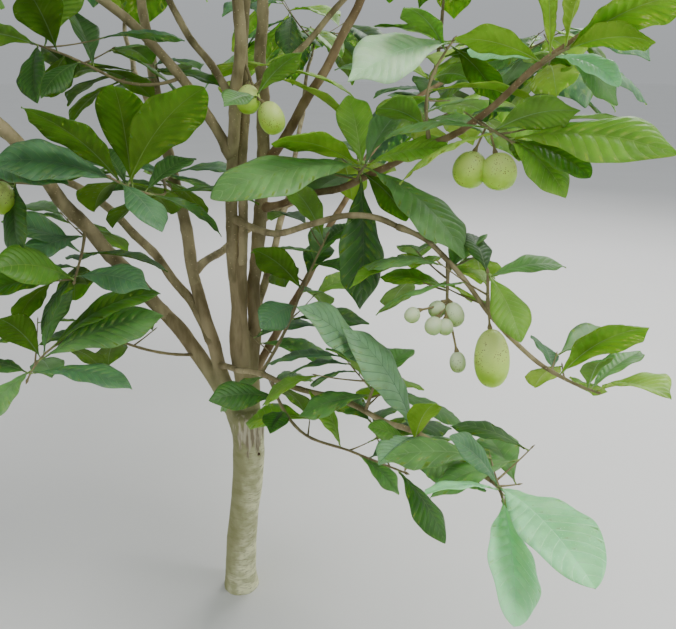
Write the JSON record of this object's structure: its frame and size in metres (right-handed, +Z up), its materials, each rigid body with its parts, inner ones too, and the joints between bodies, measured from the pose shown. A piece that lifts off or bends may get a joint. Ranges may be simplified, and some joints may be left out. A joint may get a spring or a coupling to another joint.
{
  "type": "pawpaw tree",
  "caption": "Young pawpaw tree rooted in the ground: a smooth trunk forking low into open boughs, with large drooping leaves and green fruit.",
  "frame": {"origin": "middle of the flat cut under the trunk, at ground level", "axes": "+Z up; the picture looks along +Y, with +X to its right"},
  "size_m": [2.5277, 2.2944, 2.4559],
  "materials": {
    "bark": "matte grey-green bark with fine level lines",
    "young_bark": "matte pinkish-brown young bark",
    "leaf": "satin green leaf",
    "fruit": "waxy pale green skin"
  },
  "bodies": {
    "root": {"trunk": "bark", "left_low": "young_bark", "left_high": "young_bark", "front_leader": "young_bark", "side_leader": "young_bark", "rear_leader": "young_bark", "left_middle": "young_bark", "left_upper": "young_bark", "left_steep": "young_bark", "right_upper": "young_bark", "right_middle": "young_bark", "right_long": "young_bark", "right_low": "young_bark", "right_inner": "young_bark", "right_droop": "young_bark", "right_fruiting": "young_bark", "back_right": "young_bark", "back_left": "young_bark", "back_low": "young_bark", "front_high": "young_bark", "leaves_left_fan": "leaf", "leaves_left_twig": "leaf", "leaves_left_drop": "leaf", "leaves_left_edge": "leaf", "leaves_left_end": "leaf", "leaves_low_right": "leaf", "leaves_inner_right": "leaf", "leaves_right_rise": "leaf", "leaves_right_whorl": "leaf", "leaves_right_top": "leaf", "leaves_right_broad": "leaf", "leaves_right_spray": "leaf", "leaves_fruiting_tip": "leaf", "leaves_fruiting_middle": "leaf", "fruit_cluster": "fruit", "leaves_low_tip": "leaf", "leaves_low_middle": "leaf", "fruit_high_twig": "fruit", "leaves_left_low_tip": "leaf", "leaves_left_low_middle": "leaf", "leaves_left_high_tip": "leaf", "leaves_left_high_middle": "leaf", "leaves_left_middle_tip": "leaf", "leaves_left_upper_tip": "leaf", "leaves_left_steep_tip": "leaf", "leaves_right_upper_tip": "leaf", "leaves_right_upper_middle": "leaf", "leaves_right_middle_tip": "leaf", "leaves_right_long_tip": "leaf", "leaves_right_inner_tip": "leaf", "leaves_back_right_tip": "leaf", "leaves_back_right_middle": "leaf", "leaves_back_left_tip": "leaf", "leaves_back_low_tip": "leaf", "leaves_front_high_tip": "leaf", "leaves_front_top": "leaf", "leaves_front_upper": "leaf", "leaves_side_top": "leaf", "leaves_rear_top": "leaf", "leaves_rear_upper": "leaf"}
  },
  "joints": []
}
